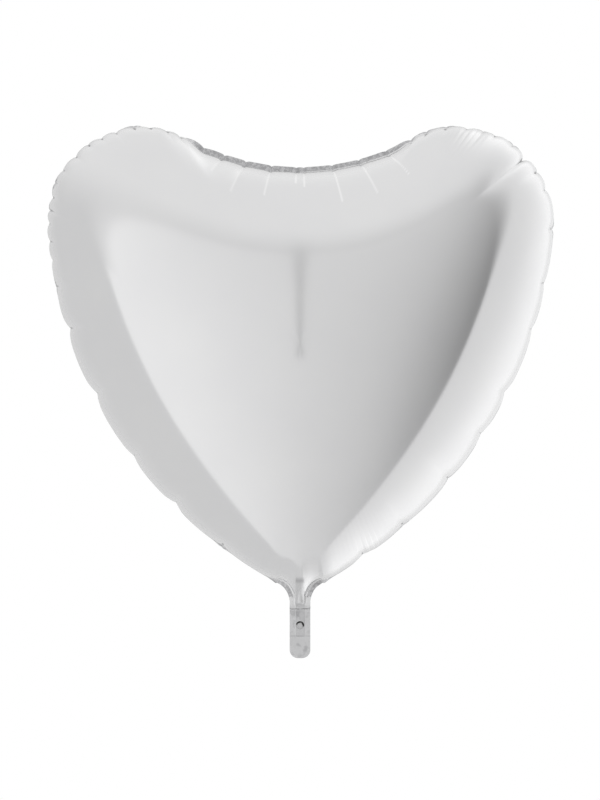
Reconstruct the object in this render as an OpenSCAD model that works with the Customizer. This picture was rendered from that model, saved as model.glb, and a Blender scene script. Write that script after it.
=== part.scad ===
// Heart-shaped foil balloon, inflated, standing upright over its filling tail.
// +Z is up, -Y is the front. The origin is at the neck, on the line where the tail flexes.
// Films are drawn thicker than they are, so that each one is a sound solid.

/* [Envelope] */
// Radius of the dip between the lobes, at the inner edge of the rim seal
cleft_r = 370; // [330:5:440]
// How far the dip turns, from the middle to where it meets a lobe
cleft_turn = 29; // [25:1:32]
// Radius of a lobe, at the inner edge of the rim seal
lobe_r = 143; // [130:1:155]
// How far past upright the lobe's arc runs before the side begins
lobe_past = 4.6; // [2:0.2:8]
// Slope of the side, from upright, where it reaches the neck
side_slope = 61.8; // [58:0.2:65]
// Radius of the fillet between the side and the neck
neck_r = 48; // [40:1:60]
// Depth of the inflated envelope, from front to back
depth = 350; // [300:10:400]
// Width of the heat-sealed rim
rim_w = 9; // [7:0.5:11]
// Height of the seal across the neck
neck_seal_h = 7; // [6:0.5:10]

/* [Films] */
// Thickness of one foil sheet
foil_t = 0.3; // [0.25:0.05:0.4]
// Thickness of one valve film, and of half the rim seal
film_t = 0.3; // [0.25:0.05:0.4]

/* [Tail] */
// Width of the flat tail
tail_w = 32.6; // [30:0.2:36]
// Length of the tail below the flex line
tail_l = 77; // [66:1:80]
// Radius of the tail's two bottom corners
tail_corner_r = 13; // [8:1:15]
// Height of the plain welded tab at the tail's end
tab_h = 33; // [26:1:36]

/* [Valve] */
// Width of the valve's films
valve_w = 14.2; // [13.6:0.2:14.4]
// How far the valve's lips reach above the flex line
valve_top = 57; // [45:1:65]
// Radius of the filling hole in the front of the tail
inlet_r = 6.3; // [5.5:0.1:6.4]
// Depth of the filling hole's centre below the flex line
inlet_drop = 25; // [22:1:28]

/* [Hidden] */

foil_colour = [0.88, 0.88, 0.89];
seal_colour = [0.70, 0.70, 0.71];
film_colour = [0.93, 0.94, 0.95];

stack_t = film_t + foil_t;              // from the middle plane to the outside of a foil
flex_above = stack_t + 0.2;             // the envelope's lowest edge, clear of the tail as it flexes
flex_below = 0.2;                       // the tail's highest edge is this far below the flex line
neck_half = tail_w / 2 - rim_w;         // half the gap between the seals at the neck
neck_z = flex_above + neck_seal_h;      // top of the seal across the neck
neck_straight = 2;                      // upright stretch of rim just above that seal
lip_gap = 0.3;                          // from the neck seal to a valve lip
lip_part = 0.05;                        // each lip stands off the middle plane by this much

// The side's radius is the one that brings the outline to the neck.
side_r = (cleft_r * sin(cleft_turn) + lobe_r * (sin(cleft_turn) + cos(lobe_past))
          - neck_r * (1 - cos(side_slope)) - neck_half) / (cos(lobe_past) - cos(side_slope));
drop = lobe_r * (cos(cleft_turn) + sin(lobe_past)) + side_r * (sin(side_slope) - sin(lobe_past))
       + neck_r * sin(side_slope) - cleft_r * (1 - cos(cleft_turn));
cleft_z = neck_z + neck_straight + drop;
centre_z = 0.60 * cleft_z;              // the fullest point of the envelope
tip_round = 0.17;                       // how much of the heart's tip the rings round off
// How far below the middle the two sides would meet if they ran on straight.
tip_h = centre_z - neck_z - neck_straight - neck_r * sin(side_slope)
        + (neck_half + neck_r * (1 - cos(side_slope))) / tan(side_slope);

cleft_n = 8;
lobe_n = 15;
side_n = 18;
neck_n = 6;
rings = 11;

// A point that has turned from heading h0 to heading h along an arc of radius r that starts at p.
function arc_point(p, r, h0, h) =
    let (side = sign(h - h0)) p + side * r * [sin(h) - sin(h0), cos(h0) - cos(h)];

function arc_points(p, r, h0, turn, n) = [for (i = [1:n]) arc_point(p, r, h0, h0 + turn * i / n)];

// The right half of the heart's outline, grown outwards by off, from the dip to the neck's middle.
function half_outline(off, low) =
    let (start = [0, cleft_z + off],
         cleft = arc_points(start, cleft_r - off, 0, cleft_turn, cleft_n),
         lobe = arc_points(cleft[cleft_n - 1], lobe_r + off, cleft_turn, -cleft_turn - 90 - lobe_past, lobe_n),
         side = arc_points(lobe[lobe_n - 1], side_r + off, -90 - lobe_past, lobe_past - side_slope, side_n),
         neck = arc_points(side[side_n - 1], neck_r - off, -90 - side_slope, side_slope, neck_n))
    concat([start], cleft, lobe, side, neck, [[neck_half + off, low], [0, low]]);

// The whole outline: the right half, then its mirror image back up to the dip.
function outline(off, low) =
    let (half = half_outline(off, low), n = len(half))
    concat(half, [for (i = [n - 2:-1:1]) [-half[i][0], half[i][1]]]);

rim = outline(0, neck_z);
edge = outline(rim_w, flex_above);
count = len(rim);

// How full the envelope is at s of the way in: steep at the sides, slower at the neck and the dip.
function swell(s, d) =
    let (down = max(0, -d[1]) / norm(d), up = max(0, d[1]) / norm(d))
    pow(1 - pow(1 - s, 2), 0.5 + 0.45 * pow(down, 8) + 0.12 * pow(up, 6));

// How much shorter a rim point's reach gets if the neck's spike is cut off along the sides' own slopes.
function blunt(d) =
    let (off_down = abs(atan2(d[0], -d[1])))
    off_down > 30 ? 1 : min(1, tip_h * sin(side_slope) / sin(side_slope + off_down) / norm(d));

// How far from the middle a rim point is at s of the way in: the neck's spike and the tip round off early.
function shrink(s, d) =
    let (down = max(0, -d[1]) / norm(d), spike = pow(1 - s, 20), tip = pow(1 - s, 3))
    (1 - s) * (spike + (1 - spike) * blunt(d)) * (1 - tip_round * (1 - tip) * pow(down, 12));

// One ring of the front panel's outer face: the seal's edge, the rim, then rings closing on the middle.
function ring(k) =
    k == 0 ? [for (p = edge) [p[0], -stack_t, p[1]]] :
    let (s = pow((k - 1) / rings, 1.6))
    [for (p = rim) let (d = p - [0, centre_z], q = d * shrink(s, d))
        [q[0], -stack_t - (depth / 2 - stack_t) * swell(s, d), centre_z + q[1]]];

outer = [for (k = [0:rings]) ring(k)];
apex = [0, -depth / 2, centre_z];

// The outer face moved in by the foil's thickness, along its own normals.
function inner_point(k, i) =
    let (along = outer[k][(i + 1) % count] - outer[k][(i + count - 1) % count],
         across = (k < rings ? outer[k + 1][i] : apex) - outer[max(0, k - 1)][i],
         n = cross(across, along))
    outer[k][i] - foil_t * n / norm(n);

module front_shell() {
    size = (rings + 1) * count;
    points = concat([for (r = outer) each r], [for (k = [0:rings], i = [0:count - 1]) inner_point(k, i)],
                    [apex, apex + [0, foil_t, 0]]);
    function at(side, k, i) = side * size + k * count + i % count;
    skin = [for (k = [0:rings - 1], i = [0:count - 1]) each
        [[at(0, k, i), at(0, k, i + 1), at(0, k + 1, i)], [at(0, k, i + 1), at(0, k + 1, i + 1), at(0, k + 1, i)],
         [at(1, k, i), at(1, k + 1, i), at(1, k, i + 1)], [at(1, k, i + 1), at(1, k + 1, i), at(1, k + 1, i + 1)]]];
    crown = [for (i = [0:count - 1]) each
        [[at(0, rings, i), at(0, rings, i + 1), 2 * size], [at(1, rings, i + 1), at(1, rings, i), 2 * size + 1]]];
    border = [for (i = [0:count - 1]) each
        [[at(0, 0, i + 1), at(0, 0, i), at(1, 0, i)], [at(0, 0, i + 1), at(1, 0, i), at(1, 0, i + 1)]]];
    polyhedron(points, concat(skin, crown, border));
}

// Stands a flat shape, drawn in X and Z, upright between two depths.
module sheet(y0, y1) {
    translate([0, y1, 0]) rotate([90, 0, 0]) linear_extrude(y1 - y0) children();
}

module valve_strip(low, high) {
    translate([-valve_w / 2, low]) square([valve_w, high - low]);
}

module tail_outline() {
    top = -flex_below;
    translate([-tail_w / 2, -tail_l + tail_corner_r]) square([tail_w, tail_l - tail_corner_r + top]);
    translate([-tail_w / 2 + tail_corner_r, -tail_l]) square([tail_w - 2 * tail_corner_r, tail_corner_r]);
    for (side = [-1, 1])
        translate([side * (tail_w / 2 - tail_corner_r), -tail_l + tail_corner_r]) circle(tail_corner_r, $fn = 64);
}

module inlet() {
    translate([0, -inlet_drop]) circle(inlet_r, $fn = 64);
}

module front_panel() {
    color(foil_colour) front_shell();
}

module back_panel() {
    color(foil_colour) mirror([0, 1, 0]) front_shell();
}

module rim_seal() {
    color(seal_colour) sheet(-film_t, film_t) difference() {
        polygon(edge);
        polygon(rim);
        translate([-neck_half, 0]) square([2 * neck_half, neck_z + 1]);
    }
}

module neck_seal() {
    color(seal_colour) sheet(-film_t, film_t)
        translate([-neck_half, flex_above]) square([2 * neck_half, neck_seal_h]);
}

module front_valve_lip() {
    color(film_colour) sheet(-film_t, -lip_part) valve_strip(neck_z + lip_gap, valve_top);
}

module back_valve_lip() {
    color(film_colour) sheet(lip_part, film_t) valve_strip(neck_z + lip_gap, valve_top);
}

module tail_front_foil() {
    color(foil_colour) sheet(-stack_t, -film_t) difference() {
        tail_outline();
        inlet();
    }
}

module tail_back_foil() {
    color(foil_colour) sheet(film_t, stack_t) tail_outline();
}

module tail_seal() {
    color(seal_colour) sheet(-film_t, film_t) difference() {
        tail_outline();
        valve_strip(-tail_l + tab_h, 1);
    }
}

module front_valve_film() {
    color(film_colour) sheet(-film_t, 0) difference() {
        valve_strip(-tail_l + tab_h, -flex_below);
        inlet();
    }
}

module back_valve_film() {
    color(film_colour) sheet(0, film_t) valve_strip(-tail_l + tab_h, -flex_below);
}

front_panel();
back_panel();
rim_seal();
neck_seal();
front_valve_lip();
back_valve_lip();
tail_front_foil();
tail_back_foil();
tail_seal();
front_valve_film();
back_valve_film();
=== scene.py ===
"""The looks of the heart-shaped foil balloon: its puckered film, seal, tail, valve, light and camera.

Everything is in metres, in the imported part's frame: +Z up, -Y to the front, the origin at the neck.
"""

import math

import bmesh
import bpy
import numpy as np
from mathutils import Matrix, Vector
from mathutils.geometry import delaunay_2d_cdt


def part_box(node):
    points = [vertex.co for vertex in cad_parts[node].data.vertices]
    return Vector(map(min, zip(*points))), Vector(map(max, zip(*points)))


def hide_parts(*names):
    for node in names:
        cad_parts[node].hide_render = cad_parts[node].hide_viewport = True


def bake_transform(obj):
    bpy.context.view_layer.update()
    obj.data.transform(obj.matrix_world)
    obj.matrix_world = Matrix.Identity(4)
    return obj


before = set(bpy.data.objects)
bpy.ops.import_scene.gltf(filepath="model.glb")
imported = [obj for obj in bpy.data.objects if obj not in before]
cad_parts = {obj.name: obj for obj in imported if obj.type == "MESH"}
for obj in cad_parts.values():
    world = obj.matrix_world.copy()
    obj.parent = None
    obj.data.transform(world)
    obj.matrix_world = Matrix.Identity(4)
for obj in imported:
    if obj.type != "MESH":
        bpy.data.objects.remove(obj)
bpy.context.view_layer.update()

MM = 0.001

# The heart's outline at the inner edge of the rim seal, as in the part.
CLEFT_R, CLEFT_TURN = 370 * MM, 29
LOBE_R, LOBE_PAST = 143 * MM, 4.6
SIDE_SLOPE = 61.8
NECK_R, NECK_STRAIGHT, NECK_HALF, NECK_Z = 48 * MM, 2 * MM, 7.3 * MM, 7.8 * MM
RIM_W = 9 * MM
FLEX_ABOVE = 0.8 * MM  # the envelope's lowest edge
HALF_DEPTH = -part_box("front_panel")[0].y
TAIL_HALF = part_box("tail_front_foil")[1].x
TAIL_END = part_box("tail_front_foil")[0].z
TAIL_CORNER = 13 * MM
INLET_R, INLET_Z = 6.3 * MM, -25 * MM
VALVE_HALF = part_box("back_valve_film")[1].x
VALVE_LOW, VALVE_TOP = -44 * MM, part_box("back_valve_lip")[1].z
SHEET_GAP = 0.4 * MM  # from the middle plane to each foil sheet
LIP_RISE, LIP_WIDTH = 1.1 * MM, 6 * MM  # the bulge in the foil over the filling hole

MICRON = 1e-6
DIP_TO_MIDDLE = 0.4
FOLD_X, FOLD_Z = 354 * MM, 711 * MM

RINGS = 56
RING_POWER = 2.0  # packs the rings towards the rim, where the film turns over
STEP = {"cleft": 2.0 * MM, "lobe": 2.0 * MM, "side": 3.0 * MM, "neck": 2.5 * MM}
FLANGE_ROWS = 4
HOLE_SIDES = 48


# The outline


def half_outline(off, low):
    """The outline's right half, grown outwards by off, from the dip to the neck's middle at height low."""
    rad = math.radians
    side_r = (
        CLEFT_R * math.sin(rad(CLEFT_TURN))
        + LOBE_R * (math.sin(rad(CLEFT_TURN)) + math.cos(rad(LOBE_PAST)))
        - NECK_R * (1 - math.cos(rad(SIDE_SLOPE)))
        - NECK_HALF
    ) / (math.cos(rad(LOBE_PAST)) - math.cos(rad(SIDE_SLOPE)))
    drop = (
        LOBE_R * (math.cos(rad(CLEFT_TURN)) + math.sin(rad(LOBE_PAST)))
        + side_r * (math.sin(rad(SIDE_SLOPE)) - math.sin(rad(LOBE_PAST)))
        + NECK_R * math.sin(rad(SIDE_SLOPE))
        - CLEFT_R * (1 - math.cos(rad(CLEFT_TURN)))
    )
    arcs = [
        (CLEFT_R, -1, CLEFT_TURN, STEP["cleft"]),
        (LOBE_R, 1, -CLEFT_TURN - 90 - LOBE_PAST, STEP["lobe"]),
        (side_r, 1, LOBE_PAST - SIDE_SLOPE, STEP["side"]),
        (NECK_R, -1, SIDE_SLOPE, STEP["neck"]),
    ]
    heading = 0
    points = [np.array([0, NECK_Z + NECK_STRAIGHT + drop + off])]
    for radius, grows, turn, step in arcs:
        count = max(2, round(abs(rad(turn)) * radius / step))
        start, r, side = points[-1], radius + grows * off, math.copysign(1, turn)
        for i in range(1, count + 1):
            a, b = rad(heading), rad(heading + turn * i / count)
            points.append(start + side * r * np.array([math.sin(b) - math.sin(a), math.cos(a) - math.cos(b)]))
        heading += turn
    corner = np.array([NECK_HALF + off, low])
    points += [corner * (1 - k / 3) + np.array([0, low]) * k / 3 for k in range(4)]
    return np.array(points)


def loop(off, low):
    right = half_outline(off, low)
    return np.vstack([right, right[-2:0:-1] * [-1, 1]])


rim = loop(0, NECK_Z)
edge = loop(RIM_W, FLEX_ABOVE)
COUNT = len(rim)
HALF_COUNT = len(half_outline(0, NECK_Z))
outward = (edge - rim) / np.linalg.norm(edge - rim, axis=1)[:, None]
CENTRE = np.array([0, 0.60 * rim[0, 1]])
along = np.r_[0, np.cumsum(np.linalg.norm(np.diff(rim[:HALF_COUNT], axis=0), axis=1))]
HALF_LENGTH = along[-1]
# Every rim point's distance from the dip, less than 0 on the left.
from_dip = np.r_[along, -along[-2:0:-1]]
CLEFT_END = CLEFT_R * math.radians(CLEFT_TURN)
LOBE_END = CLEFT_END + LOBE_R * math.radians(CLEFT_TURN + 90 + LOBE_PAST)


def smooth(t):
    """Passes from 0 to 1 with no kink in its slope or its curvature, which gloss would show as a line."""
    t = np.clip(t, 0, 1)
    return t**3 * (t * (6 * t - 15) + 10)


# The inflated shape: a film under even pressure, rounded over at the rim


def pressure_dome(points):
    """How high an even load lifts each point inside the rim, from 0 at the rim to 1 at the fullest."""
    sources = loop(30 * MM, NECK_Z - 25 * MM)[::4]
    on_rim = rim[::2]

    def kernel(p):
        apart = np.linalg.norm(p[:, None] - sources[None], axis=2)
        return np.c_[np.log(apart), np.ones(len(p))]

    def load(p):
        return -((p - CENTRE) ** 2).sum(1) / 4

    weights = np.linalg.lstsq(kernel(on_rim), -load(on_rim), rcond=1e-10)[0]
    lifted = np.concatenate([load(p) + kernel(p) @ weights for p in np.array_split(points, 40)])
    return np.clip(lifted, 0, None) / lifted.max()


share = (np.arange(RINGS + 1) / RINGS) ** RING_POWER
flat = CENTRE + (rim - CENTRE)[None] * (1 - share[:, None, None] * 0.995)
height = HALF_DEPTH * np.sqrt(pressure_dome(flat.reshape(-1, 2))).reshape(RINGS + 1, COUNT)
height[0] = 0
base = np.stack([flat[..., 0], -height, flat[..., 1]], axis=2)
down_film = np.concatenate(
    [np.zeros((1, COUNT)), np.cumsum(np.linalg.norm(np.diff(base, axis=0), axis=2), axis=0)]
)


def grid_normals(p):
    across = np.roll(p, -1, 1) - np.roll(p, 1, 1)
    inward = np.gradient(p, axis=0)
    n = np.cross(across, inward)
    n[0] = [[o[0], 0, o[1]] for o in outward]
    length = np.linalg.norm(n, axis=2)[..., None]
    n = n / np.maximum(length, 1e-12)
    facing = np.where((n[..., 1] > 0.02)[..., None], -1, 1)
    return n * facing


normal = grid_normals(base)


# Puckers, where the rim's spare length gathers

# A typical pucker in the dip, on a lobe and down a side. Dark is how far its painted shade line may run in.
SWAY = 1.6 * MM
DIP_PUCKER = {"depth": 2.0 * MM, "length": 120 * MM, "width": 3 * MM, "sway": 0.3 * MM, "dark": 0}
LOBE_PUCKER = {"depth": 4.6 * MM, "length": 75 * MM, "width": 7 * MM, "sway": SWAY, "dark": 52 * MM}
SIDE_PUCKER = {"depth": 6.0 * MM, "length": 95 * MM, "width": 15 * MM, "sway": SWAY, "dark": 56 * MM}
SEAL_LEAN = 79  # degrees
SPREAD = 0.03  # how fast a pucker widens down the film
DOT_MIDDLE, DOT_REACH = 22 * MM, 31 * MM  # the painted dark dot where a pucker goes over the film's turn
DOT_ENDS = 0.35  # how dark the painted dot is at its ends, as a share of its middle
# how far down the film the painted seam shadow lies, and its width
SEAM_SHADOW_DOWN, SEAM_SHADOW_WIDTH = 23 * MM, 2.5 * MM
PUFF, PUFF_REACH = 2.0 * MM, 90 * MM  # how far the film stands out between puckers, and how far in
# how far down the film the painted highlight along a dip pucker starts
GLEAM_FROM = 20 * MM
WRINKLE_PITCH = 9 * MM
PUCKER_TILT = 22  # degrees, how far a pucker tips the seal to one side


def lean(s):
    """How far the seal leans over, in degrees: it lies flat in the dip and at the neck."""
    s = np.abs(s)
    leant = smooth((s - 0.75 * CLEFT_END) / (70 * MM))
    return SEAL_LEAN * leant * (1 - smooth((s - HALF_LENGTH + 90 * MM) / (70 * MM)))


def spacing(s, side):
    """How far apart the puckers are: close on the lobes, far apart down the sides, sooner on the right."""
    lobes, sides, dip = 25 * MM, 100 * MM, 46 * MM
    turn, over = (LOBE_END - 130 * MM, 160 * MM) if side > 0 else (LOBE_END - 30 * MM, 250 * MM)
    on_lobes = smooth((s - 0.8 * CLEFT_END) / (50 * MM))
    return dip + (lobes - dip) * on_lobes + (sides - lobes) * smooth((s - turn) / over)


def make_puckers(side):
    """Puckers down one half of the rim, from the dip to just above the neck."""
    made, s = [], 6 * MM
    while s < HALF_LENGTH - 80 * MM:
        in_dip = s < 0.85 * CLEFT_END
        typical = DIP_PUCKER if in_dip else LOBE_PUCKER if s < LOBE_END + 60 * MM else SIDE_PUCKER
        made.append(
            {
                "at": from_dip[np.argmin(np.abs(from_dip - side * s))],
                "depth": typical["depth"] * rng.uniform(0.6, 1.3),
                "length": typical["length"] * rng.uniform(0.6, 1.4),
                "width": typical["width"] * rng.uniform(0.8, 1.2),
                "spread": SPREAD,
                "sway": typical["sway"] * rng.uniform(-1, 1),
                "gleam": in_dip,
                "dot": 0 if in_dip else rng.uniform(0.5, 1.2),
                "dark": typical["dark"] * max(0, rng.uniform(-0.4, 1.4)),
            }
        )
        s += spacing(s, side) * rng.uniform(0.75, 1.25)
    return made


def shoulder_fold():
    """One long fold that runs in from the right lobe's shoulder."""
    at = from_dip[np.argmin(np.hypot(rim[:, 0] - FOLD_X, rim[:, 1] - FOLD_Z))]
    shape = {"depth": 8 * MM, "length": 190 * MM, "width": 5 * MM, "spread": 0.05, "sway": 0}
    # Its line gets a painted dark dot and painted shade that runs 100 mm in from the seam.
    return {"at": at, **shape, "gleam": False, "dot": 1, "dark": 100 * MM}


def bell(distance, width):
    return np.exp(-((distance / width) ** 2))


def distance_across(p):
    """How far every film point is from a pucker's line, measured along the rim."""
    if not p["gleam"]:
        return np.abs(from_dip - p["at"])[None] * (1 - share[:, None])
    # Puckers in the dip run square to the rim, so they fan out.
    fanned = (1 - share) * CLEFT_R / (CLEFT_R + DIP_TO_MIDDLE * share)
    return np.abs(from_dip[None] * fanned[:, None] - p["at"])


def gather(puckers):
    """Adds up the puckers: how far the film is sunk, how far the seam sways, and the painted shade and
    highlight along its folds.
    """
    sunk, sway, painted_fold_light = (np.zeros((RINGS + 1, COUNT)) for _ in range(3))
    for p in puckers:
        apart = distance_across(p)
        line = np.exp(-apart / (p["width"] + p["spread"] * down_film))
        sunk += p["depth"] * line * (1 - smooth(down_film / p["length"]))
        sway += p["sway"] * line * (1 - smooth(down_film / (35 * MM)))
        # Painted shade: a dark line down each pucker near the seam, and a dark dot where it goes over the
        # film's turn.
        dark = 1 - smooth(down_film / max(p["dark"], MM))
        dot = p["dot"] * (DOT_ENDS + (1 - DOT_ENDS) * bell(down_film - DOT_MIDDLE, 7 * MM))
        dot *= down_film < DOT_REACH
        painted_fold_light += bell(apart, 2.0 * MM) * np.maximum(dot, dark)
        # Dip puckers also get a painted highlight line further down the film.
        if p["gleam"]:
            ends = smooth((down_film - GLEAM_FROM) / (25 * MM)) * (down_film < 0.9 * p["length"])
            painted_fold_light -= bell(apart, 1.8 * MM) * ends
    return sunk, sway, painted_fold_light


rng = np.random.default_rng(36)
puckers = make_puckers(1) + make_puckers(-1) + [shoulder_fold()]
sunk, sway, painted_fold_light = gather(puckers)

# A painted shadow line runs along the seam over each lobe's inner shoulder.
past_dip = smooth((np.abs(from_dip) - 0.8 * CLEFT_END) / (30 * MM))
shoulder = past_dip * (1 - smooth((np.abs(from_dip) - 1.3 * CLEFT_END) / (50 * MM)))
painted_fold_light += 0.5 * shoulder[None] * bell(down_film - SEAM_SHADOW_DOWN, SEAM_SHADOW_WIDTH)

# Between puckers the film stands out past the seam.
stands_out = past_dip * (np.abs(from_dip) < HALF_LENGTH - 60 * MM)
sunk -= PUFF * stands_out[None] * (1 - smooth(down_film / PUFF_REACH))

# Two patches of fine wrinkles, on top of the right lobe and low on the right side, with a painted highlight
# on each crest.
for at, reach in ((1.5 * CLEFT_END, 30 * MM), (HALF_LENGTH - 150 * MM, 44 * MM)):
    fades = smooth(down_film / (16 * MM)) * (1 - smooth((down_film - 40 * MM) / (100 * MM)))
    patch = bell(from_dip - at, reach)[None] * fades
    wrinkle = np.sin(from_dip * 2 * math.pi / WRINKLE_PITCH)[None]
    sunk += 0.3 * MM * patch * wrinkle
    # painted highlight along the wrinkles' crests
    painted_fold_light -= 0.8 * patch * np.clip(wrinkle, 0, 1)
painted_fold_light = np.clip(painted_fold_light, -1, 1)


def ripples(reach, waves, height_m):
    """Shallow waves that run in from the rim and die out, from a few sines with no common period."""
    total = np.zeros((RINGS + 1, COUNT))
    for _ in range(waves):
        turns, phase, bend = rng.uniform(14, 46), rng.uniform(0, 2 * math.pi), rng.uniform(-9, 9)
        total += np.sin(turns * from_dip[None] / HALF_LENGTH * math.pi + phase + bend * down_film)
    fade = smooth(down_film / (15 * MM)) * (1 - smooth(down_film / reach))
    return height_m * total / math.sqrt(waves) * fade


# A seal that leans over leaves more of its width to the film.
shifted_out = (RIM_W * (1 - np.cos(np.radians(lean(from_dip)))))[None] * (1 - smooth(down_film / (160 * MM)))
push = -sunk + ripples(110 * MM, 7, 0.35 * MM)


def film_surface(side):
    """The film's points in front (-1) or, mirrored at the rim but with the same seam, behind (1)."""
    mirror = np.array([1, -side, 1])
    points = base * mirror + normal * mirror * push[..., None]
    points[..., 1] += sway
    points[..., 0::2] += shifted_out[..., None] * outward[None]
    return points


def seal_surface(seam):
    """Rows of points from the seam to the outer edge, leaning over and tilted by the puckers."""
    tilt = lean(from_dip)
    for p in puckers:
        tilt = tilt + p["sway"] / SWAY * PUCKER_TILT * bell(from_dip - p["at"], 11 * MM)
    tilt = np.radians(tilt * (1 - smooth((np.abs(from_dip) - HALF_LENGTH + 80 * MM) / (50 * MM))))
    part = np.linspace(0, 1, FLANGE_ROWS + 1)[:, None]
    reach = part * np.linalg.norm(edge - rim, axis=1)
    leaning = np.stack(
        [
            seam[:, 0] + reach * np.cos(tilt) * outward[:, 0],
            seam[:, 1] + reach * np.sin(tilt),
            seam[:, 2] + reach * np.cos(tilt) * outward[:, 1],
        ],
        axis=2,
    )
    # Near the neck the rows come down to the tail's straight top.
    level = rim + (edge - rim) * part[..., None]
    level = np.stack([level[..., 0], np.zeros_like(reach), level[..., 1]], axis=2)
    low = smooth((np.abs(from_dip) - HALF_LENGTH + 30 * MM) / (12 * MM))[None, :, None]
    return leaning * (1 - low) + level * low


film, mirrored = film_surface(-1), film_surface(1)
seal_rows = seal_surface(film[0])
film[0], mirrored[0] = seal_rows[0], seal_rows[0]


# Meshes


def make(name, verts, faces):
    mesh = bpy.data.meshes.new(name)
    mesh.from_pydata([tuple(v) for v in verts], [], faces)
    mesh.validate()
    o = bpy.data.objects.new(name, mesh)
    bpy.context.scene.collection.objects.link(o)
    work = bmesh.new()
    work.from_mesh(mesh)
    bmesh.ops.remove_doubles(work, verts=work.verts, dist=0.02 * MM)
    work.to_mesh(mesh)
    work.free()
    for p in mesh.polygons:
        p.use_smooth = True
    return o


def shade_folds(o, points, values):
    """Stores the painted shade (above 0) and painted highlight (below 0) at each point, for the film's
    material.
    """
    attribute = o.data.attributes.new("fold", "FLOAT", "POINT")
    found = {tuple(round(float(c) / MICRON) for c in p): v for p, v in zip(points, values, strict=True)}
    fold = [float(found.get(tuple(round(c / MICRON) for c in v.co), 0)) for v in o.data.vertices]
    attribute.data.foreach_set("value", fold)


def strip_faces(first, second, count, flip):
    quads = [(first + i, first + (i + 1) % count, second + (i + 1) % count, second + i) for i in range(count)]
    return [q[::-1] for q in quads] if flip else quads


def tail_outline():
    """The tail's edge, clockwise from the left end of its top, with the top's points where the seal's are."""
    top = sorted({round(float(p[0]), 7) for p in edge if abs(p[1] - FLEX_ABOVE) < 1e-9})
    points = [(x, FLEX_ABOVE) for x in top]
    turn = [math.radians(a) for a in np.linspace(0, -90, 13)]
    side = np.linspace(FLEX_ABOVE, TAIL_END + TAIL_CORNER, 42)[1:-1]
    points += [(TAIL_HALF, z) for z in side]
    x, z = TAIL_HALF - TAIL_CORNER, TAIL_END + TAIL_CORNER
    points += [(x + TAIL_CORNER * math.cos(a), z + TAIL_CORNER * math.sin(a)) for a in turn]
    points += [(-x, z) for x, z in points[: len(top) - 1 : -1]]
    return points


def tail_wave(x, z):
    """How far the tail's films stand off the flat, in a slight wave that starts below the neck."""
    return 0.35 * MM * math.sin(z / (9 * MM) + x / (14 * MM)) * float(smooth((FLEX_ABOVE - z) / (12 * MM)))


def tail_mesh(hole, step=1.5 * MM):
    """Points and triangles of one flat tail layer, in X and Z, with or without the filling hole."""
    rim_points = tail_outline()
    count = len(rim_points)
    borders = [(i, (i + 1) % count) for i in range(count)]
    points = list(rim_points)
    if hole:
        turn = np.linspace(0, 2 * math.pi, HOLE_SIDES + 1)[:-1]
        points += [(INLET_R * math.cos(a), INLET_Z + INLET_R * math.sin(a)) for a in turn]
        borders += [(count + i, count + (i + 1) % HOLE_SIDES) for i in range(HOLE_SIDES)]
    for row, z in enumerate(np.arange(TAIL_END + step, FLEX_ABOVE - step / 2, step)):
        for x in np.arange(-TAIL_HALF + step, TAIL_HALF - step / 2, step):
            x += step / 2 * (row % 2)
            corner = abs(x) - (TAIL_HALF - TAIL_CORNER), (TAIL_END + TAIL_CORNER) - z
            round_corner = min(corner) > 0 and math.hypot(*corner) > TAIL_CORNER - step / 2
            if abs(x) > TAIL_HALF - step / 2 or round_corner:
                continue
            if hole and math.hypot(x, z - INLET_Z) < INLET_R + step / 2:
                continue
            points.append((x, z))
    done = delaunay_2d_cdt([Vector(p) for p in points], borders, [], 1, 1e-7)
    flat_points = [tuple(v) for v in done[0]]
    triangles = [tuple(t) for t in done[2]]
    if hole:
        def outside(t):
            x, z = (sum(flat_points[i][k] for i in t) / len(t) for k in (0, 1))
            return math.hypot(x, z - INLET_Z) > INLET_R * 0.98

        triangles = [t for t in triangles if outside(t)]
    return flat_points, triangles


def foil_sheet(name, surface, side):
    """One foil sheet in one piece: the domed film, its share of the flat seal, and its share of the tail."""
    verts = list(surface.reshape(-1, 3))
    faces = []
    for j in range(RINGS):
        faces += strip_faces(j * COUNT, (j + 1) * COUNT, COUNT, side > 0)
    verts.append(surface[-1].mean(0))
    last = RINGS * COUNT
    crown = [(last + i, last + (i + 1) % COUNT, len(verts) - 1) for i in range(COUNT)]
    faces += [f[::-1] for f in crown] if side > 0 else crown
    offset = np.array([0, side * SHEET_GAP, 0])
    first = len(verts)
    for row in seal_rows[1:]:
        verts += list(row + offset)
    for k in range(FLANGE_ROWS):
        inner = 0 if k == 0 else first + (k - 1) * COUNT
        faces += strip_faces(first + k * COUNT, inner, COUNT, side > 0)
    start = len(verts)
    flat_points, triangles = tail_mesh(hole=side < 0)
    for x, z in flat_points:
        near = math.hypot(x, z - INLET_Z - 0.8 * INLET_R) / LIP_WIDTH
        lift = LIP_RISE * math.exp(-near * near) if side < 0 else 0
        verts.append((x, side * SHEET_GAP - lift + tail_wave(x, z), z))
    for t in triangles:
        a, b, c = (flat_points[i] for i in t[:3])
        turn = (b[0] - a[0]) * (c[1] - a[1]) - (b[1] - a[1]) * (c[0] - a[0])
        t = t if (turn > 0) == (side < 0) else t[::-1]
        faces.append(tuple(start + i for i in t))
    o = make(name, verts, faces)
    shade_folds(o, surface.reshape(-1, 3).astype(np.float32), painted_fold_light.ravel())
    return o


front_sheet = foil_sheet("front_foil_sheet", film, -1)
back_sheet = foil_sheet("back_foil_sheet", mirrored, 1)


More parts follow.
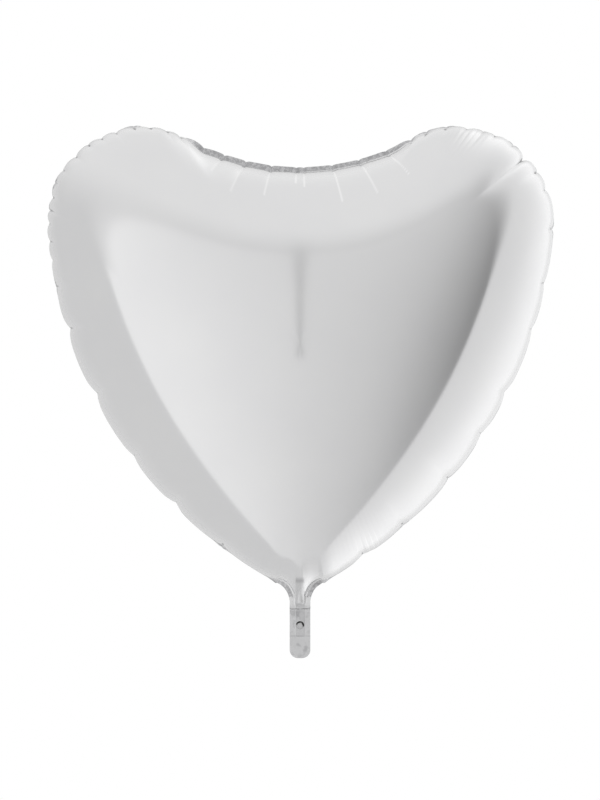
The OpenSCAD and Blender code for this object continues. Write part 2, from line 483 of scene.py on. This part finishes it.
def seal_band():
    """The fused layer between the two foil sheets, round the rim, across the neck and down the tail."""
    verts, faces = [], []
    for row in seal_rows:
        verts += list(row)
    for k in range(FLANGE_ROWS):
        faces += strip_faces((k + 1) * COUNT, k * COUNT, COUNT, False)
    start = len(verts)
    flat_points, triangles = tail_mesh(hole=False)
    for x, z in flat_points:
        verts.append((x, tail_wave(x, z), z))

    def sealed(t):
        x, z = (sum(flat_points[i][k] for i in t) / len(t) for k in (0, 1))
        return abs(x) > VALVE_HALF or z < VALVE_LOW

    faces += [tuple(start + i for i in t) for t in triangles if sealed(t)]
    return make("seal_band", verts, faces)


band = seal_band()


def valve_film(name, side):
    """One film of the flat valve, from inside the tail up through the neck into the envelope."""
    rows, columns = 80, 12
    verts, faces = [], []
    for j in range(rows + 1):
        z = VALVE_LOW + (VALVE_TOP - VALVE_LOW) * j / rows
        part = 0.06 * MM + 0.10 * MM * float(smooth((z - 12 * MM) / (20 * MM)))
        wave = tail_wave(0, z)
        for i in range(columns + 1):
            x = VALVE_HALF * (2 * i / columns - 1)
            verts.append((x, side * part + wave, z))
    for j in range(rows):
        for i in range(columns):
            a = j * (columns + 1) + i
            quad = (a, a + 1, a + columns + 2, a + columns + 1)
            middle_z = VALVE_LOW + (VALVE_TOP - VALVE_LOW) * (j + 0.5) / rows
            middle_x = VALVE_HALF * (2 * (i + 0.5) / columns - 1)
            if side < 0 and math.hypot(middle_x, middle_z - INLET_Z) < INLET_R:
                continue
            faces.append(quad if side < 0 else quad[::-1])
    return make(name, verts, faces)


front_valve = valve_film("front_valve_sheet", -1)
back_valve = valve_film("back_valve_sheet", 1)


# Materials


class Graph:
    """Short names for the shader nodes that the materials and the light are made of."""

    def __init__(self, tree):
        self.nodes, self.links = tree.nodes, tree.links

    def feed(self, socket, value):
        if isinstance(value, (int, float)):
            socket.default_value = value
        elif isinstance(value, tuple):
            socket.default_value = (*value, 1)
        else:
            self.links.new(value, socket)

    def maths(self, operation, *values):
        n = self.nodes.new("ShaderNodeMath")
        n.operation = operation
        for socket, value in zip(n.inputs, values, strict=False):
            self.feed(socket, value)
        return n.outputs[0]

    def plus(self, a, b):
        return self.maths("ADD", a, b)

    def minus(self, a, b):
        return self.maths("SUBTRACT", a, b)

    def times(self, a, b):
        return self.maths("MULTIPLY", a, b)

    def larger(self, a, b):
        return self.maths("MAXIMUM", a, b)

    def size(self, a):
        return self.maths("ABSOLUTE", a)

    def ramp(self, source, low_in, high_in, low_out, high_out):
        """Passes smoothly from low_out to high_out as the source goes from low_in to high_in."""
        n = self.nodes.new("ShaderNodeMapRange")
        n.interpolation_type = "SMOOTHSTEP"
        ends = {"From Min": low_in, "From Max": high_in, "To Min": low_out, "To Max": high_out}
        for socket, value in ends.items():
            n.inputs[socket].default_value = value
        self.links.new(source, n.inputs["Value"])
        return n.outputs["Result"]

    def place(self, kind="Object"):
        return self.nodes.new("ShaderNodeTexCoord").outputs[kind]

    def axes(self, place):
        n = self.nodes.new("ShaderNodeSeparateXYZ")
        self.links.new(place, n.inputs[0])
        return n.outputs

    def noise(self, place, scale, detail, roughness=0.5):
        n = self.nodes.new("ShaderNodeTexNoise")
        for socket, value in {"Scale": scale, "Detail": detail, "Roughness": roughness}.items():
            n.inputs[socket].default_value = value
        self.links.new(place, n.inputs["Vector"])
        return n.outputs["Fac"]

    def mix(self, factor, a, b):
        """Passes from colour a to colour b."""
        n = self.nodes.new("ShaderNodeMix")
        n.data_type = "RGBA"
        for name, value in (("A", a), ("B", b)):
            self.feed(next(s for s in n.inputs if s.name == name and s.type == "RGBA"), value)
        self.links.new(factor, n.inputs["Factor"])
        return next(s for s in n.outputs if s.type == "RGBA")

    def bump(self, shader, height, strength, distance):
        n = self.nodes.new("ShaderNodeBump")
        n.inputs["Strength"].default_value = strength
        n.inputs["Distance"].default_value = distance
        self.links.new(height, n.inputs["Height"])
        self.links.new(n.outputs["Normal"], shader.inputs["Normal"])


def new_material(name):
    m = bpy.data.materials.new(name)
    m.use_nodes = True
    return m, Graph(m.node_tree), m.node_tree.nodes["Principled BSDF"]


DEEP_SHADOW = (0.02, 0.02, 0.02)
FOLD_SHADOW = (0.05, 0.05, 0.055)
TAIL_WELD_Z = -42 * MM


def hole_shadow(g, place):
    """1 in a broken dark crescent under the filling hole's upper lip."""
    x, z = g.axes(place)["X"], g.minus(g.axes(place)["Z"], INLET_Z)
    from_centre = g.maths("SQRT", g.plus(g.times(x, x), g.times(z, z)))
    gap = g.minus(INLET_R + 0.5 * MM, from_centre)
    ragged = g.times(g.noise(place, 420.0, 2.0), 5.5 * MM)
    ring = g.ramp(g.minus(gap, ragged), -0.3 * MM, 0.3 * MM, 1, 0)
    ring = g.times(ring, g.ramp(gap, 0, 0.3 * MM, 0, 1))
    upper = g.plus(z, g.times(x, 0.3))
    return g.times(ring, g.ramp(upper, -2.5 * MM, 1 * MM, 0, 1))


def valve_band(g, x, z):
    """1 where the valve shows through the foil as a raised band."""
    across = g.ramp(g.size(x), VALVE_HALF - 0.5 * MM, VALVE_HALF + 0.3 * MM, 1, 0)
    upper = g.ramp(z, VALVE_TOP - 9 * MM, VALVE_TOP, 1, 0)
    lower = g.ramp(z, VALVE_LOW, VALVE_LOW + 1 * MM, 0, 1)
    return g.times(g.times(across, upper), lower)


def foil_material():
    """White pearl film: glossy, a little metallic, with the valve's band, a weld line, painted shade and
    highlight along the folds and a painted shadow under the filling hole's lip.
    """
    m, g, shader = new_material("pearl_foil")
    place = g.place()
    x, z = g.axes(place)["X"], g.axes(place)["Z"]
    cloudy = g.noise(place, 9.0, 2.0)
    grain = g.noise(place, 900.0, 2.0)
    band_here = valve_band(g, x, z)
    weld = g.ramp(g.size(g.minus(z, TAIL_WELD_Z)), 0.2 * MM, 1.6 * MM, 1, 0)
    on_tail = g.ramp(z, -1 * MM, 12 * MM, 1, 0)
    colour = g.mix(cloudy, (0.84, 0.84, 0.85), (0.89, 0.89, 0.89))
    colour = g.mix(g.times(on_tail, 0.55), colour, (0.60, 0.60, 0.61))
    smudge = g.ramp(g.noise(place, 75.0, 3.0), 0.5, 0.7, 0, 0.5)
    colour = g.mix(g.times(smudge, on_tail), colour, (0.40, 0.40, 0.41))
    band_grey = g.ramp(z, VALVE_TOP - 15 * MM, VALVE_TOP - 8 * MM, 0.3, 0.75)
    colour = g.mix(g.times(band_here, band_grey), colour, (0.46, 0.46, 0.47))
    worn = g.ramp(g.noise(place, 130.0, 2.0), 0.35, 0.6, 0, 0.35)
    colour = g.mix(g.times(weld, worn), colour, (0.35, 0.35, 0.36))
    colour = g.mix(hole_shadow(g, place), colour, DEEP_SHADOW)
    # Painted highlight where the stored value is below 0, painted shade where it is above.
    fold = g.nodes.new("ShaderNodeAttribute")
    fold.attribute_name = "fold"
    colour = g.mix(g.ramp(fold.outputs["Fac"], -0.9, -0.3, 0.9, 0), colour, (1.0, 1.0, 1.0))
    colour = g.mix(g.ramp(fold.outputs["Fac"], 0.2, 0.8, 0, 0.9), colour, FOLD_SHADOW)
    g.feed(shader.inputs["Base Color"], colour)
    g.feed(shader.inputs["Roughness"], g.ramp(grain, 0.3, 0.7, 0.07, 0.11))
    g.feed(shader.inputs["Metallic"], 0.7)
    raised = g.plus(g.times(band_here, 0.8), g.times(cloudy, 0.25))
    g.bump(shader, g.minus(raised, g.times(weld, 0.12)), 0.6, 0.4 * MM)
    return m


def seal_material():
    """The fused edge: greyer and pressed with a fine mottled texture."""
    m, g, shader = new_material("pressed_seal")
    place = g.place()
    mottle = g.noise(place, 160.0, 4.0, 0.6)
    patch = g.noise(place, 28.0, 2.0)
    colour = g.mix(g.ramp(mottle, 0.35, 0.65, 0, 1), (0.34, 0.34, 0.35), (0.66, 0.66, 0.67))
    g.feed(shader.inputs["Base Color"], g.mix(g.times(patch, 0.5), colour, (0.86, 0.86, 0.87)))
    g.feed(shader.inputs["Roughness"], g.ramp(mottle, 0.3, 0.7, 0.2, 0.34))
    g.feed(shader.inputs["Metallic"], 0.6)
    g.bump(shader, mottle, 0.7, 0.5 * MM)
    return m


def valve_material():
    """Milky film that is shadowed just under the hole's upper lip."""
    m, g, shader = new_material("valve_film")
    place = g.place()
    streaks = g.noise(place, 220.0, 3.0)
    colour = g.mix(streaks, (0.52, 0.52, 0.53), (0.72, 0.72, 0.72))
    g.feed(shader.inputs["Base Color"], g.mix(hole_shadow(g, place), colour, DEEP_SHADOW))
    g.feed(shader.inputs["Roughness"], g.ramp(streaks, 0.3, 0.7, 0.25, 0.4))
    g.bump(shader, streaks, 0.3, 0.2 * MM)
    return m


foil, pressed, milky = foil_material(), seal_material(), valve_material()
for sheet in (front_sheet, back_sheet):
    sheet.data.materials.append(foil)
    sheet.data.materials.append(pressed)
band.data.materials.append(pressed)
front_valve.data.materials.append(milky)
back_valve.data.materials.append(milky)


def mark_seal(o):
    """Gives the pressed material to the rim's flat seal, between the seam and the edge."""
    film_faces = RINGS * COUNT + COUNT
    seal_faces = FLANGE_ROWS * COUNT
    for p in o.data.polygons:
        if film_faces <= p.index < film_faces + seal_faces and p.center.z > 20 * MM:
            p.material_index = 1


mark_seal(front_sheet)
mark_seal(back_sheet)

# The pieces' transforms are baked into their meshes, and the part's meshes they replace are hidden

for piece in (front_sheet, back_sheet, band, front_valve, back_valve):
    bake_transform(piece)
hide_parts("front_panel", "tail_front_foil")
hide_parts("back_panel", "tail_back_foil")
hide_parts("rim_seal", "neck_seal", "tail_seal")
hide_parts("front_valve_lip", "front_valve_film")
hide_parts("back_valve_lip", "back_valve_film")

# Stage, light and camera

FLOOR_Z = -0.62
# How bright the tent's open front is, from far left (0) to far right (1).
FRONT_FALL = [(0.06, 1.0), (0.94, 0.05), (0.25, 0.92), (0.5, 0.75), (0.7, 0.60), (0.82, 0.40)]
OPEN_HALF = 60  # the opening reaches this many degrees round from straight ahead
ROOF_NEARER = 1.9, 1.15  # and less than that upwards, from left to right
ROOF_SOFT = 0.22  # how softly the roof passes into the opening
SEAM_DIM = 0.6  # the front's hanging seam, above eye level
BROW_DIM = 0.86  # the front just under the roof
WALL_LIGHT, ROOF_GAIN = 0.65, 0.2
RIGHT_NEAR, RIGHT_FAR = 0.10, 0.48  # what the right wall adds, where it starts and further back


def stage_floor():
    bpy.ops.mesh.primitive_circle_add(vertices=96, radius=1.3, fill_type="NGON", location=(0, 0, FLOOR_Z))
    floor = bpy.context.object
    floor.name = "floor"
    m, g, shader = new_material("pale_floor")
    g.feed(shader.inputs["Base Color"], (0.9, 0.9, 0.9))
    g.feed(shader.inputs["Roughness"], 0.9)
    floor.data.materials.append(m)
    floor.visible_glossy = False


def front_brightness(g, right):
    """The open front's light, which falls off from left to right."""
    fall = g.nodes.new("ShaderNodeFloatCurve")
    g.feed(fall.inputs["Value"], g.maths("MULTIPLY_ADD", right, 0.5, 0.5))
    curve = fall.mapping.curves[0]
    for point, (x, y) in zip(curve.points, FRONT_FALL[:2], strict=True):
        point.location = (x, y)
    for x, y in FRONT_FALL[2:]:
        curve.points.new(x, y)
    fall.mapping.update()
    return fall.outputs["Value"]


def wall_brightness(g, right, back, up):
    """The tent's walls: even, lighter on the right, under the roof and a little behind."""
    right_side = g.ramp(right, 0.05, 0.45, 0, 1)
    right_wall = g.times(right_side, g.ramp(back, -0.5, 0.4, RIGHT_NEAR, RIGHT_FAR))
    right_wall = g.times(right_wall, g.ramp(back, 0.5, 0.8, 1, 0.45))
    roof = g.times(g.ramp(up, 0.3, 0.8, 0, ROOF_GAIN), g.ramp(right, 0.0, 0.6, 1, 0))
    behind = g.ramp(back, 0.2, 0.8, 0, 0.06)
    return g.plus(g.plus(g.plus(right_wall, roof), behind), WALL_LIGHT)


def light_tent():
    """A white tent round the object, open to the front, seen by the camera as plain white."""
    world = bpy.data.worlds.new("tent")
    bpy.context.scene.world = world
    world.use_nodes = True
    g = Graph(world.node_tree)
    right, back, up = g.axes(g.place("Generated"))

    rise = g.times(g.larger(up, 0), g.ramp(right, 0.1, 0.6, *ROOF_NEARER))
    aside = g.plus(g.maths("POWER", g.size(right), 4), g.maths("POWER", rise, 4))
    aside = g.times(g.maths("POWER", aside, 0.25), 1 / math.tan(math.radians(OPEN_HALF)))
    inside = g.minus(g.times(back, -1), aside)
    soft = g.maths("MULTIPLY_ADD", rise, ROOF_SOFT, 0.02)
    in_front = g.ramp(g.maths("DIVIDE", inside, soft), -1, 1, 0, 1)

    seam = g.ramp(g.size(right), 0.003, 0.022, SEAM_DIM, 1)
    seam = g.larger(seam, g.ramp(up, -0.1, 0.02, 1, 0))
    brow = g.ramp(inside, 0.02, 0.16, BROW_DIM, 1)
    brow = g.larger(brow, g.ramp(rise, 0.15, 0.4, 1, 0))
    front = g.times(g.times(front_brightness(g, right), seam), brow)

    walls = wall_brightness(g, right, back, up)
    light = g.plus(walls, g.times(in_front, g.minus(front, walls)))
    tent = g.nodes.new("ShaderNodeBackground")
    g.feed(tent.inputs["Strength"], light)
    seen = g.nodes["Background"]
    for background in (seen, tent):
        g.feed(background.inputs["Color"], (1, 1, 1))
    both = g.nodes.new("ShaderNodeMixShader")
    camera_ray = g.nodes.new("ShaderNodeLightPath").outputs["Is Camera Ray"]
    for socket, source in zip(both.inputs, (camera_ray, tent.outputs[0], seen.outputs[0]), strict=True):
        g.feed(socket, source)
    g.feed(g.nodes["World Output"].inputs["Surface"], both.outputs[0])


def set_camera():
    data = bpy.data.cameras.new("camera")
    data.sensor_width = 36
    data.lens = 85.4
    camera = bpy.data.objects.new("camera", data)
    camera.location = (0, -3.0, 0.331)
    camera.rotation_euler = (math.radians(90), 0, 0)
    bpy.context.scene.collection.objects.link(camera)
    bpy.context.scene.camera = camera
    bpy.context.scene.view_settings.view_transform = "Standard"


stage_floor()
light_tent()
set_camera()
